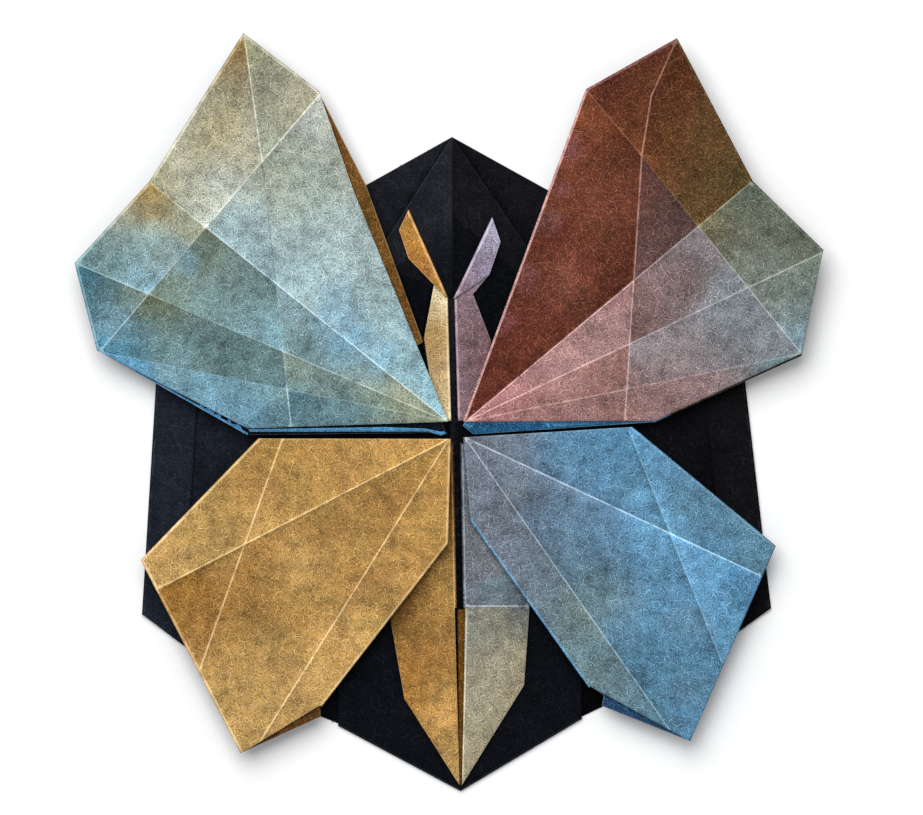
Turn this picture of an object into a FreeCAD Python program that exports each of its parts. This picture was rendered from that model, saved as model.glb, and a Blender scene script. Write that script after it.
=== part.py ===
import FreeCAD, Part
import math
import os

# An origami butterfly: one sheet of craft paper, folded into a dark base plate that
# carries two forewings, two hindwings, two tails and two antennae.
#
# Millimetres, +Z up. The back of the base plate rests on Z = 0. The origin lies on that
# plane below the point where all the flaps meet, and +Y runs from there to the antennae.
#
# Every ply of paper is a plate of the sheet's own thickness, made of flat facets that meet
# in creases. Two plies that lie on each other are joined by a rolled fold, a half ring with
# the thickness of the paper. All plies and folds are one closed solid in the end.

# The side of the square sheet. The corners below are those of a model folded from a
# square of 300 mm, and another sheet makes the same model larger or smaller.
sheet_side = 300.0
drawn_sheet_side = 300.0

# The paper and the way its plies lie on each other.
paper = 0.25
fold_gap = 0.35
joint_depth = 0.1

# Base plate, distances from the meeting point.
base_top = (-0.8, 58.6)
base_upper_left = (-59.0, 26.0)
base_upper_right = (55.8, 27.2)
base_lower_left = (-62.8, -36.8)
base_lower_right = (63.0, -35.6)
base_waist_left = (-45.6, -49.8)
base_waist_right = (48.8, -46.0)
base_keel_left = (-27.2, -57.2)
base_keel_right = (29.3, -55.3)
base_tip = (0.9, -72.2)
hem_width = 8.4

# Kite-shaped layer on the front of the base, with a ridge from its top to the slit.
kite_shoulder_left = (-25.2, 20.4)
kite_shoulder_right = (25.2, 20.4)
ridge_middle = (-0.8, 43.0)
ridge_rise = 0.4

# The slit that runs down between the antennae and the tails, clear of its folded sides.
slit_top = (-1.0, 26.6)
slit_bottom = (0.8, -35.6)
slit_width = 1.3

# Wings: how many plies lie under a wing at its root, how many degrees the wings rise
# outwards and how far the forewing's main crossing stands out of the wing's plane.
plies_under_wings = 3
forewing_lift = 3.0
hindwing_lift = 2.4
forewing_relief = 0.4

# A crease that was folded and pressed flat again leaves a shallow groove.
crease_width = 0.4
crease_depth = 0.08

# The strut is the hidden ply that joins a wing to the base.
strut_start = 9.0
strut_end = 27.0
strut_spread = 9.0

# Wing corners as reach (mm) and bearing (degrees from +X) from the wing's own root.
# "under" are the corners that the lower ply has to itself.
left_forewing = {
    "root": (-1.6, 1.7),
    "shoulder": (71.1, 111.2),
    "crossing": (63.9, 125.6),
    "tip": (87.8, 117.8),
    "notch": (76.6, 141.3),
    "point": (81.1, 157.0),
    "corner": (71.6, 168.5),
    "heel": (40.1, 181.9),
    "foot": (31.4, 182.0),
    "under": [(40.2, 183.8), (2.3, 260.0), (16.3, 113.9), (16.7, 107.5), (50.1, 109.2)],
    "strut": 145.0,
}
right_forewing = {
    "root": (1.4, 1.7),
    "shoulder": (70.8, 69.7),
    "crossing": (64.0, 56.0),
    "tip": (87.8, 60.8),
    "notch": (75.3, 39.7),
    "point": (79.8, 25.5),
    "corner": (69.0, 11.4),
    "heel": (38.4, 0.3),
    "foot": (32.4, 0.3),
    "under": [(68.7, 10.6), (38.4, -0.5), (3.3, -51.0), (0.8, -90.0)],
    "strut": 35.0,
}
left_hindwing = {
    "root": (-1.0, -1.8),
    "heel": (38.6, 179.9),
    "brace_start": (33.7, 179.8),
    "point": (66.6, 201.3),
    "rib_end": (65.8, 207.1),
    "brace_end": (67.9, 222.4),
    "tip": (75.6, 236.2),
    "crease_end": (71.5, 237.7),
    "ankle": (58.3, 244.4),
    "elbow": (20.9, 268.4),
    "under": [(61.3, 244.8)],
    "strut": 212.0,
}
right_hindwing = {
    "root": (1.4, -1.5),
    "heel": (34.0, 3.5),
    "brace_start": (33.2, 2.4),
    "point": (66.2, -19.1),
    "rib_end": (65.8, -24.9),
    "brace_end": (69.1, -41.2),
    "tip": (75.8, -53.2),
    "crease_end": (71.4, -54.7),
    "ankle": (55.1, -63.4),
    "elbow": (16.6, -85.1),
    "under": [(60.4, -62.6), (58.7, -61.3)],
    "strut": -32.0,
}

# Tails run from the slit to the tip of the base. Corners from the hidden top outwards.
tail_start = -2.8
left_tail = [(-2.6, -4.0), (-13.1, -37.9), (-10.3, -53.7), (0.7, -71.0)]
right_tail = [(2.8, -4.0), (14.7, -35.2), (13.6, -51.0), (1.2, -71.0)]
right_tail_crease = -35.2

# Antennae: a leaf, folded over its long edge, on a strip that comes out of the slit.
antenna_start = 2.8
left_leaf = [(-9.7, 43.6), (-11.4, 40.0), (-9.5, 34.3)]
left_strip = [(-4.4, 29.1), (-6.4, 18.4), (-4.0, 3.0)]
right_leaf = [(7.4, 42.0), (8.9, 37.6), (6.7, 31.1)]
right_strip = [(3.4, 27.2), (7.0, 17.8), (4.6, 3.0)]

# A triangle of the dark side that stands up beside the left antenna.
gusset = [(-16.0, 33.0), (-14.0, 17.0), (-6.8, 18.4), (-4.9, 29.0)]
gusset_rise = 0.8

# Worked-out values.
scale = sheet_side / drawn_sheet_side
pitch = paper + fold_gap
fold_radius = (pitch + paper) / 2
wing_seat = plies_under_wings * pitch
up = FreeCAD.Vector(0, 0, 1)


def at(place, height=0.0):
    """A point from its X and Y on the drawn sheet, and its real height."""
    return FreeCAD.Vector(place[0] * scale, place[1] * scale, height)


def around(corner, height=0.0):
    """A point from its reach and bearing on the drawn sheet, and its real height."""
    reach, bearing = corner
    angle = math.radians(bearing)
    return at((reach * math.cos(angle), reach * math.sin(angle)), height)


def raised(points, height):
    return [FreeCAD.Vector(point.x, point.y, height) for point in points]


def edge_pairs(points):
    return list(zip(points, points[1:] + points[:1]))


def crossing(a, b, c, d):
    """Plan position where line a-b meets line c-d."""
    first = b - a
    second = d - c
    offset = c - a
    turn = first.x * second.y - first.y * second.x
    share = (offset.x * second.y - offset.y * second.x) / turn
    return a + first * share


def on_plane(place, a, b, c):
    """The point above or below place that lies in the plane through a, b and c."""
    normal = (b - a).cross(c - a)
    height = a.z - (normal.x * (place.x - a.x) + normal.y * (place.y - a.y)) / normal.z
    return FreeCAD.Vector(place.x, place.y, height)


def polygon_face(points):
    return Part.Face(Part.makePolygon(points + points[:1]))


def folded_ply(facets):
    """One ply of paper: flat facets of its lower side, given the paper's thickness."""
    faces = []
    uses = {}
    for facet in facets:
        faces.append(polygon_face(facet))
        faces.append(polygon_face([point + up * paper for point in facet]))
        for start, end in edge_pairs(facet):
            key = frozenset((tuple(round(v, 6) for v in start), tuple(round(v, 6) for v in end)))
            uses.setdefault(key, []).append((start, end))
    for sides in uses.values():
        if len(sides) == 1:
            start, end = sides[0]
            faces.append(polygon_face([start, end, end + up * paper, start + up * paper]))
    ply = Part.makeSolid(Part.makeShell(faces))
    if ply.Volume < 0:
        ply.reverse()
    return ply


def pressed_crease(start, end):
    """The groove of a crease on the front of a flat ply, given along its lower side."""
    along = (end - start).normalize()
    across = FreeCAD.Vector(along.y, -along.x, 0) * (crease_width / 2)
    surface = start + up * paper
    bottom = surface - up * crease_depth
    section = [bottom, surface + across, surface + across + up, surface - across + up, surface - across]
    return polygon_face(section).extrude(end - start)


def turning(outline):
    """+1 for an outline that runs anticlockwise, -1 for one that runs clockwise."""
    area = sum(start.x * end.y - end.x * start.y for start, end in edge_pairs(outline))
    return math.copysign(1.0, area)


def outward(outline, index):
    start, end = edge_pairs(outline)[index]
    along = (end - start).normalize()
    return FreeCAD.Vector(along.y, -along.x, 0) * turning(outline)


def drawn_in(outline, rolled, distance):
    """The outline with its rolled edges moved inwards, so that the folds end where it was."""
    count = len(outline)
    moved = []
    for index, (start, end) in enumerate(edge_pairs(outline)):
        shift = outward(outline, index) * (-distance if index in rolled else 0.0)
        moved.append((start + shift, end + shift))
    return [crossing(*moved[index - 1], *moved[index]) for index in range(count)]


def mitre(outline, rolled, corner, index):
    """Direction in which the fold of edge index is cut off at a corner of the outline."""
    count = len(outline)
    normal = outward(outline, index)
    neighbour = (corner - 1) % count if corner == index else corner
    if neighbour in rolled:
        return (normal + outward(outline, neighbour)).normalize()
    start, end = edge_pairs(outline)[neighbour]
    along = (end - start).normalize()
    if corner != index:
        along = along * -1
    steepest = 0.5
    return along if along.dot(normal) > steepest else normal


def rolled_fold(outline, rolled, index, low, high):
    """Half ring along one edge that joins the ply whose lower side is at low to the one at high."""
    count = len(outline)
    start, end = edge_pairs(outline)[index]
    along = (end - start).normalize()
    normal = outward(outline, index)
    outer = (high + paper - low) / 2
    middle = low + outer
    overrun = along * (4 * outer)
    length = (end - start).Length + 8 * outer
    base = FreeCAD.Vector(start.x, start.y, middle) - overrun
    ring = Part.makeCylinder(outer, length, base, along)
    ring = ring.cut(Part.makeCylinder(outer - paper, length, base, along))
    reach = 1.5 * outer
    first = mitre(outline, rolled, index, index)
    last = mitre(outline, rolled, (index + 1) % count, index)
    far_start = start + first * (reach / first.dot(normal))
    far_end = end + last * (reach / last.dot(normal))
    plan = raised([start, end, far_end, far_start], middle - reach)
    wedge = polygon_face(plan).extrude(up * (2 * reach))
    return ring.common(wedge)


def rolled_folds(outline, rolled, low, high):
    return [rolled_fold(outline, rolled, index, low, high) for index in rolled]


def seated(shape, shape_of, lift):
    """Tilt a wing so that it rises outwards along its strut and set its root on the base."""
    axis = around((1.0, shape_of["strut"] - 90.0))
    shape.rotate(FreeCAD.Vector(0, 0, 0), axis, lift)
    shape.translate(at(shape_of["root"], wing_seat))
    return shape


def strut(shape_of, lift):
    """The hidden ply that runs from the base's front layer up to a wing's lower ply."""
    low = pitch + paper - joint_depth
    high = wing_seat + scale * strut_end * math.tan(math.radians(lift)) - paper + joint_depth
    left = shape_of["strut"] + strut_spread
    right = shape_of["strut"] - strut_spread
    corners = [((strut_start, right), low), ((strut_end, right), high)]
    corners += [((strut_end, left), high), ((strut_start, left), low)]
    root = at(shape_of["root"])
    return folded_ply([[root + around(corner, height) for corner, height in corners]])


def shared_chain(names, rolled):
    """Names of the corners that a run of rolled edges passes, first to last."""
    return [names[index] for index in rolled] + [names[(rolled[-1] + 1) % len(names)]]


def forewing(shape_of, rolled):
    """Rolled edges are counted from shoulder to tip, notch, point, corner, heel and root."""
    names = ["shoulder", "tip", "notch", "point", "corner", "heel", "root"]
    drawn = [around(shape_of[name]) for name in names[:-1]] + [at((0.0, 0.0))]
    outline = raised(drawn_in(drawn, rolled, fold_radius), pitch)
    shoulder, tip, notch, point, corner, heel, root = outline
    upper = around(shape_of["crossing"], pitch + forewing_relief)
    foot = crossing(heel, root, upper, around(shape_of["foot"], pitch))
    outer = on_plane(crossing(upper, corner, notch, root), tip, notch, upper)
    inner = on_plane(crossing(upper, foot, notch, root), shoulder, root, upper)
    lower = on_plane(crossing(upper, corner, point, root), notch, point, outer)
    middle = on_plane(crossing(upper, foot, point, root), outer, inner, lower)
    last = on_plane(crossing(upper, foot, corner, root), corner, lower, middle)
    front = folded_ply([
        [tip, shoulder, upper],
        [shoulder, root, inner, upper],
        [tip, upper, outer, notch],
        [upper, inner, outer],
        [notch, outer, lower, point],
        [outer, inner, middle, lower],
        [inner, root, middle],
        [point, lower, corner],
        [corner, lower, middle, last],
        [middle, root, last],
        [corner, last, heel],
        [heel, last, foot],
        [last, root, foot],
    ])
    places = dict(zip(names, outline))
    shared = [places[name] for name in shared_chain(names, rolled)]
    under = folded_ply([raised(shared + [around(place) for place in shape_of["under"]], 0.0)])
    plies = front.multiFuse([under] + rolled_folds(outline, rolled, 0.0, pitch))
    return seated(plies, shape_of, forewing_lift)


def hindwing(shape_of):
    """Two plies rolled together along the outer and the inner side, open at both ends."""
    names = ["root", "heel", "point", "tip", "ankle", "elbow"]
    rolled = [1, 2, 4, 5]
    drawn = [at((0.0, 0.0))] + [around(shape_of[name]) for name in names[1:]]
    outline = raised(drawn_in(drawn, rolled, fold_radius), pitch)
    root, heel, point, tip, ankle, elbow = outline
    creases = [(root, "rib_end"), (root, "crease_end")]
    grooves = [pressed_crease(start, around(shape_of[end], pitch)) for start, end in creases]
    brace = [around(shape_of[name], pitch) for name in ("brace_start", "brace_end")]
    grooves.append(pressed_crease(*brace))
    front = folded_ply([outline]).cut(grooves)
    own = [around(place) for place in shape_of["under"]]
    under = folded_ply([raised([root, heel, point, tip] + own + [ankle, elbow], 0.0)])
    plies = front.multiFuse([under] + rolled_folds(outline, rolled, 0.0, pitch))
    return seated(plies, shape_of, hindwing_lift)


def base_corners():
    """Corners of the base's back ply, anticlockwise from the top, inside its folded edges."""
    outline = [
        base_top,
        base_upper_left,
        base_lower_left,
        base_waist_left,
        base_keel_left,
        base_tip,
        base_keel_right,
        base_waist_right,
        base_lower_right,
        base_upper_right,
    ]
    left_side, left_keel, right_keel, right_side = 1, 4, 5, 8
    folded = [left_side, left_keel, right_keel, right_side]
    return drawn_in([at(place) for place in outline], folded, fold_radius)


def side_hem(top, upper, lower, waist):
    """Strip folded over the side from upper to lower, with its ends cut off by the outline."""
    along = (lower - upper).normalize()
    across = FreeCAD.Vector(along.y, -along.x, 0)
    inward = across if across.dot(top - upper) > 0 else across * -1
    inner = upper + inward * (scale * hem_width - fold_radius)
    hem = [upper, lower, crossing(lower, waist, inner, inner + along)]
    hem.append(crossing(upper, top, inner, inner + along))
    return [folded_ply([raised(hem, pitch)])] + rolled_folds(hem, [0], 0.0, pitch)


def slit_corners(height):
    """Left top, left bottom, right bottom and right top corner of the opening in a ply."""
    top = at(slit_top, height)
    bottom = at(slit_bottom, height)
    along = (top - bottom).normalize()
    aside = FreeCAD.Vector(along.y, -along.x, 0) * (slit_width / 2 + fold_radius)
    return [top - aside, bottom - aside, bottom + aside, top + aside]


def front_layer(corners):
    """Kite-shaped layer with a ridge and the slit, folded to the back along the lower tip."""
    top, keel_left, tip, keel_right = raised([corners[index] for index in (0, 4, 5, 6)], pitch)
    left_top, left_bottom, right_bottom, right_top = slit_corners(pitch)
    left = at(kite_shoulder_left, pitch)
    right = at(kite_shoulder_right, pitch)
    ridge = at(ridge_middle, pitch + ridge_rise)
    layer = folded_ply([
        [top, left, ridge],
        [ridge, left, left_top],
        [ridge, left_top, right_top],
        [ridge, right_top, right],
        [top, ridge, right],
        [left, keel_left, tip, left_bottom, left_top],
        [left_bottom, tip, right_bottom],
        [right, right_top, right_bottom, tip, keel_right],
    ])
    outline = [top, left, keel_left, tip, keel_right, right]
    left_keel, right_keel = 2, 3
    return [layer] + rolled_folds(outline, [left_keel, right_keel], 0.0, pitch)


def slit_edge(side, first, last):
    """Part of one side of the slit, between two distances up from the meeting point."""
    corners = slit_corners(0.0)
    top, bottom = (corners[0], corners[1]) if side < 0 else (corners[3], corners[2])
    across = FreeCAD.Vector(1, 0, 0)
    return [crossing(top, bottom, at((0.0, y)), at((0.0, y)) + across) for y in (first, last)]


def tail(side, corners, creases):
    outline = slit_edge(side, slit_bottom[1], tail_start) + [at(place) for place in corners]
    folds = rolled_folds(outline, [0], pitch, 2 * pitch)
    ply = folded_ply([raised(outline, 2 * pitch)])
    ends = [[at((x, y), 2 * pitch) for x in (slit_bottom[0], corners[1][0])] for y in creases]
    grooves = [pressed_crease(*pair) for pair in ends]
    return [ply.cut(grooves) if grooves else ply] + folds


def antenna(side, leaf, strip):
    foot, root = slit_edge(side, antenna_start, slit_top[1])
    leaf_outline = [root] + [at(place) for place in leaf]
    outline = [foot] + leaf_outline + [at(place) for place in strip]
    pieces = [folded_ply([raised(outline, 2 * pitch)])]
    pieces += rolled_folds(outline, [0], pitch, 2 * pitch)
    pieces.append(folded_ply([raised(leaf_outline, 3 * pitch)]))
    return pieces + rolled_folds(leaf_outline, [0], 2 * pitch, 3 * pitch)


def dark_gusset():
    height = pitch + paper - joint_depth
    upper, lower = [at(place, height) for place in gusset[:2]]
    edge = at(gusset[2], height + gusset_rise)
    return folded_ply([[upper, lower, edge, on_plane(at(gusset[3]), upper, lower, edge)]])


def build_folded_sheet():
    corners = base_corners()
    top, upper_left, lower_left, waist_left = corners[:4]
    waist_right, lower_right, upper_right = corners[7:]
    plies = side_hem(top, upper_left, lower_left, waist_left)
    plies += side_hem(top, upper_right, lower_right, waist_right)
    plies += front_layer(corners)
    plies += tail(-1, left_tail, []) + tail(1, right_tail, [right_tail_crease])
    plies += antenna(-1, left_leaf, left_strip) + antenna(1, right_leaf, right_strip)
    plies.append(dark_gusset())
    for shape_of, rolled in ((left_forewing, [0, 1, 2, 3]), (right_forewing, [6, 0, 1, 2])):
        plies += [forewing(shape_of, rolled), strut(shape_of, forewing_lift)]
    for shape_of in (left_hindwing, right_hindwing):
        plies += [hindwing(shape_of), strut(shape_of, hindwing_lift)]
    return folded_ply([corners]).multiFuse(plies).removeSplitter()


os.makedirs("parts", exist_ok=True)
sheet = build_folded_sheet()
box = sheet.BoundBox
print("solids", len(sheet.Solids), "valid", sheet.isValid(), "volume", round(sheet.Volume, 1))
print("size", round(box.XLength, 1), round(box.YLength, 1), round(box.ZLength, 1))
sheet.exportStep("parts/folded_sheet.step")
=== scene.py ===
# %% [markdown]
# # A paper butterfly, folded from one sheet
#
# The real butterfly is one square of mottled craft paper. Its dark side makes a flat base
# plate, and its dyed side makes four wings, two tails and two antennae that lie on it.
# Nothing in it is a block: every part is a ply of paper a quarter of a millimetre thick,
# and two plies that lie on each other are joined by a rolled fold.
#
# So each flap is modelled as a paper folder would make it. First comes a flat panel with
# its creases, then the fold rolls round the edge, then the panel on the other side. That
# surface has no thickness until the very end, when Solidify gives it the paper's own.
#
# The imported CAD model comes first, because its box says how large the real thing is.

# %% Load the frame
import math

import bmesh
import bpy
from mathutils import Matrix, Vector, noise
from mathutils.geometry import delaunay_2d_cdt, intersect_point_line


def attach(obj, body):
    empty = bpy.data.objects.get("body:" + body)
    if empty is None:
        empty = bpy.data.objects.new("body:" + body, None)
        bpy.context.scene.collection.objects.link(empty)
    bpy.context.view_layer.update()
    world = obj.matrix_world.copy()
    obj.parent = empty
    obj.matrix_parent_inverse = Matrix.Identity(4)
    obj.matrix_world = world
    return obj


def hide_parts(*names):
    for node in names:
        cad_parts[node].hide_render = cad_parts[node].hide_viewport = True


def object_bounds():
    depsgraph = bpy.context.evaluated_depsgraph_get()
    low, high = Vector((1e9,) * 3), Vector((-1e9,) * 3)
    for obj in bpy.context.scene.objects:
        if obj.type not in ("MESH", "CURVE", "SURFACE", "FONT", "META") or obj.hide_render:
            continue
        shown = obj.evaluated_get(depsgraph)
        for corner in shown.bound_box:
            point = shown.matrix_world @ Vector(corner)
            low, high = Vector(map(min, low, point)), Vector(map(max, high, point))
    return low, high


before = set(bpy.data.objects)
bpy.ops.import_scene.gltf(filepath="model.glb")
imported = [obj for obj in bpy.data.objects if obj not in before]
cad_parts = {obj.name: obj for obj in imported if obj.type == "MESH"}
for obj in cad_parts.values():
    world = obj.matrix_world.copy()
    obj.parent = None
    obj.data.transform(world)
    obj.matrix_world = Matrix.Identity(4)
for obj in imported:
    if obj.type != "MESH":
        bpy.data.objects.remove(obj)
cad_low, cad_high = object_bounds()
print("packed sheet, mm:", [round(1000 * side, 1) for side in cad_high - cad_low])

# %% [markdown]
# ## One drawn millimetre
#
# The folding plan below is written in millimetres from the point where all flaps meet.
# The plan is 149.47 mm wide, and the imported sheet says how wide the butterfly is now, so
# every place is multiplied by their ratio. A bigger sheet then gives a bigger butterfly.

# %% Scale and levels
plan_width = 149.47
mm = (cad_high.x - cad_low.x) / plan_width
paper = 0.25
fold_gap = 0.35
pitch = paper + fold_gap
fold_radius = (pitch + paper) / 2
middle = paper / 2
wing_seat = 3 * pitch
print("one drawn millimetre is", round(1000 * mm, 4), "mm, plies lie", pitch, "mm apart")


def at(x, y, z=0.0):
    return Vector((x, y, z))


def around(reach, bearing, z=0.0):
    angle = math.radians(bearing)
    return Vector((reach * math.cos(angle), reach * math.sin(angle), z))


# %% [markdown]
# ## Floor, light and camera
#
# Paper is judged by its shadows, and a folded sheet throws very thin ones. One large soft
# lamp from the upper left does that work, and a pale sky fills the rest. The floor is a
# wide plain disc, so that its rim never shows, even in a view from close to the ground.
#
# The camera looks straight down through a long lens, which keeps the wings' raised tips
# from leaning outwards.

# %% Floor


def in_scene(name, data):
    """A new object that shows the data."""
    thing = bpy.data.objects.new(name, data)
    bpy.context.scene.collection.objects.link(thing)
    return thing


def mesh_of(build, name):
    """The built shape as a mesh. The build itself is let go."""
    mesh = bpy.data.meshes.new(name)
    build.to_mesh(mesh)
    build.free()
    return mesh


def matt_material(name, shine, roughness=0.5):
    """A material without metal or coat, and its shader. Shine is its specular level."""
    material = bpy.data.materials.new(name)
    material.use_nodes = True
    shader = material.node_tree.nodes["Principled BSDF"]
    shader.inputs["Roughness"].default_value = roughness
    shader.inputs["Specular IOR Level"].default_value = shine
    return material, shader


floor_build = bmesh.new()
bmesh.ops.create_circle(floor_build, cap_ends=True, segments=96, radius=9.0)
floor = in_scene("floor", mesh_of(floor_build, "floor"))
floor_paint, floor_shader = matt_material("pale_floor", 0.1, 0.9)
floor_shader.inputs["Base Color"].default_value = (0.82, 0.82, 0.82, 1.0)
floor.data.materials.append(floor_paint)
print("floor:", round(floor.dimensions.x), "m across")

# %% Sky and lamps
world = bpy.data.worlds.new("soft_sky")
bpy.context.scene.world = world
world.use_nodes = True
sky = world.node_tree.nodes["Background"]
sky.inputs["Color"].default_value = (0.97, 0.985, 1.0, 1.0)
sky.inputs["Strength"].default_value = 0.55
light = bpy.data.lights.new("key_lamp", "AREA")
light.size = 1.3
light.energy = 25.0
key = in_scene("key_lamp", light)
key.location = (-0.32, 0.75, 1.25)
key.rotation_euler = (-key.location).to_track_quat("-Z", "Y").to_euler()
key.visible_camera = False
height = math.asin(key.location.z / key.location.length)
print("lamp:", key.name, "elevation", round(math.degrees(height)))

# %% Camera
view_width = 184.6 * mm
camera_height = 3.0
lens_camera = bpy.data.cameras.new("camera")
lens_camera.sensor_width = 36.0
lens_camera.lens = lens_camera.sensor_width * camera_height / view_width
lens_camera.clip_end = 10.0
camera = in_scene("camera", lens_camera)
camera.location = (1.1 * mm, 4.5 * mm, camera_height)
bpy.context.scene.camera = camera
bpy.context.scene.view_settings.view_transform = "Standard"
print("lens", round(lens_camera.lens), "mm")

# %% [markdown]
# ## Dyes
#
# The paper was dyed by hand, so that a flap runs from one colour into another. Each colour
# gets a plain name and is written as a screen colour from 0 to 255. Blender mixes light
# and not screen numbers, so the colours are turned linear, and divided by the strength of
# the light, because a dye is lighter to the eye than it is in the pot. The pot is a table in
# words, with a comma after each row, and rows_of reads it.

# %% Dye pot


def rows_of(plan):
    """The rows of a table in words, as words and numbers."""
    rows = [row.split() for row in plan.split(",")]
    return [[float(word) if word[-1].isdigit() else word for word in row] for row in rows]


light_level = 1.22
dye_pot = {name: parts for name, *parts in rows_of("""
    umber 143 115 62, khaki 188 183 143, sand 188 186 160, bone 218 226 220, sage 176 184 164,
    dun 150 152 134, mist 174 204 210, aqua 156 202 215, sky 128 182 212, haze 153 182 192,
    straw 183 150 83, hay 180 184 156, moss 116 130 114, teal 116 145 144, sea 112 148 152,
    petrol 89 150 178, cornflower 81 142 173, steel 101 166 205, olive 113 119 87, fern 158 168 140,
    slate 94 132 142, rust 142 76 48, brick 136 76 60, bark 93 46 31, walnut 77 37 19,
    cocoa 100 73 41, mole 88 54 46, plum 90 66 60, lichen 122 115 84, reed 92 102 88,
    pewter 144 153 141, dove 146 138 142, rose 159 115 109, salmon 194 133 130, clay 106 76 74,
    frost 133 142 147, storm 113 140 146, ash 161 125 123, gold 184 140 74, amber 160 114 56,
    honey 205 163 96, ochre 200 152 82, bronze 124 84 36, sienna 92 58 26, wheat 246 228 180,
    denim 93 138 162, azure 93 151 191, ice 118 180 224, flint 119 128 142, ink_blue 40 74 110,
    lilac 178 172 194, mauve 140 110 115, linen 176 164 134, stone 130 132 122, night 33 38 48,
    coal 10 12 17, cobalt 58 112 160, lagoon 72 122 156, pitch 15 17 23, oat 168 168 131,
    flax 182 176 150, brook 141 186 202, willow 127 147 134, harbour 116 166 189, russet 109 61 34,
    peat 87 70 37, mulberry 102 46 35, toffee 160 112 56, caramel 164 115 50,
    storm_grey 110 120 134, reseda 158 159 144, drab 140 136 116, saffron 186 128 58,
    tarn 97 138 141, celadon 154 172 158, blush 214 162 160, abyss 65 117 136, sleet 146 177 192,
    lake 126 160 164, pearl 203 209 196, coffee 96 60 18, cyan 72 140 188, midnight 4 10 18,
    deep_sea 34 92 134, espresso 40 30 28, petal 222 170 166, raven 18 18 21, jet 6 6 8,
    cinder 80 44 12, iron 66 66 66, tawny 104 66 16, rosewood 138 88 88, biscuit 232 180 104,
    thistle 160 146 172, barley 178 158 104, drizzle 102 124 134, foam 172 196 190, onyx 33 34 40,
    soot 24 24 29""")}


def dye(name):
    """The named dye as linear light, for a sheet that stands in the studio's light."""
    parts = []
    for part in dye_pot[name]:
        share = part / 255
        linear = share / 12.92 if share <= 0.04045 else ((share + 0.055) / 1.055) ** 2.4
        parts.append(linear / light_level)
    return Vector(parts)


print(len(dye_pot), "dyes; rust is", [round(part, 3) for part in dye("rust")])

# %% [markdown]
# ## Colour on a panel
#
# A crease often parts two tones. Partly the paper was turned while the dye was wet, and
# partly the facets on its two sides are painted lighter and darker, as painted light and
# shade of facets that face the lamp differently. So a panel is painted facet by facet. Each
# facet names its corners and the dye at each of them, and a point inside takes most from
# the corners that are near it. A few soft clouds lie on top; most are dye, and a few are
# painted shadow or painted highlight. The place is pushed about by noise before it is
# looked up, which turns straight blends into the ragged ones of wet paper.

# %% Paint helpers
wide_scale, wide_push = 0.075, 3.4
fine_scale, fine_push = 0.28, 1.1
corner_softness = 6.0
# Blender starts noise_vector from the clock, unless the script gives it a seed.
dye_seed = 1795367260
noise.seed_set(dye_seed)


def spread(place, seed):
    """The place moved about like dye that runs in wet paper."""
    wide = noise.noise_vector(place * wide_scale + Vector((seed, 0, 0))) * wide_push
    fine = noise.noise_vector(place * fine_scale + Vector((0, seed, 0))) * fine_push
    return place + Vector((wide.x + fine.x, wide.y + fine.y, 0))


def blend_of(corners, place):
    """Dyes of the corners, mixed by nearness. Each corner is a place and a colour."""
    total = Vector((0, 0, 0))
    weight = 0.0
    for corner, colour in corners:
        away = (place - corner).xy.length_squared + corner_softness
        total += colour / away
        weight += 1 / away
    return total / weight


def clouded(colour, clouds, place):
    """The colour under the clouds that reach this place. Most clouds are dye, and a few are painted shadow
    or painted highlight.
    """
    for centre, reach, strength, tint in clouds:
        away = (place - centre).xy.length / reach
        if away < 1:
            colour = colour.lerp(tint, strength * (1 - away * away) ** 2)
    return colour


def inside(outline, place):
    """Whether the place lies inside an outline, by counting the edges to its right."""
    odd = False
    for start, end in zip(outline, outline[1:] + outline[:1]):
        if (start.y > place.y) != (end.y > place.y):
            side = start.x + (place.y - start.y) * (end.x - start.x) / (end.y - start.y)
            odd = odd != (place.x < side)
    return odd


print("dye runs up to", round(wide_push + fine_push, 1), "mm from its place")

# %% [markdown]
# ## The panel
#
# A panel starts as an outline and its crease lines. Delaunay triangulation fills it with
# small, even triangles and keeps an edge along every line, so that a crease stays sharp
# however the sheet bends. Each crease gets three lines: its middle, where the paper is
# raised, worn and painted lighter as a highlight or darker as groove shade, and one on each
# side, where it lies flat again.
#
# Three numbers are stored on every point: how worn the paper is there by a crease, which is
# also a painted highlight, or painted groove shade below zero; how worn it is by an edge,
# which is also a painted highlight on the folds that catch the light; and how far inside the
# panel it lies. The finish reads the first two as attributes, and the loose fibres at the end
# keep off the edges with the third.

# %% Refined panel
spacing = 1.25
crease_reach = 0.28
edge_reach = 0.4
clear_of_sides = 0.3
clear_of_lines = 0.55 * spacing
same_place = 2e-3


def pairs_of(points):
    return list(zip(points, points[1:] + points[:1]))


def distance_to(place, start, end):
    nearest, share = intersect_point_line(place.xy, start.xy, end.xy)
    nearest = start.xy.lerp(end.xy, min(1.0, max(0.0, share)))
    return (place.xy - nearest).length


def divided(start, end):
    """Places from start towards end, without end itself."""
    count = max(1, round((end - start).length / spacing))
    return [start.lerp(end, index / count) for index in range(count)]


def sideways(start, end):
    along = (end - start).normalized()
    return Vector((along.y, -along.x, 0))


def meeting(a, b, c, d):
    """Where the line through a and b meets the line through c and d, seen from above."""
    first = b - a
    second = d - c
    turn = first.x * second.y - first.y * second.x
    share = ((c - a).x * second.y - (c - a).y * second.x) / turn
    return a + first * share


def drawn_in(outline, chosen, distance):
    """The outline with its chosen sides moved inwards. It runs anticlockwise."""
    moved = []
    for index, (start, end) in enumerate(pairs_of(outline)):
        shift = sideways(start, end) * (-distance if index in chosen else 0.0)
        moved.append((start + shift, end + shift))
    return [meeting(*moved[index - 1], *moved[index]) for index in range(len(moved))]


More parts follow.
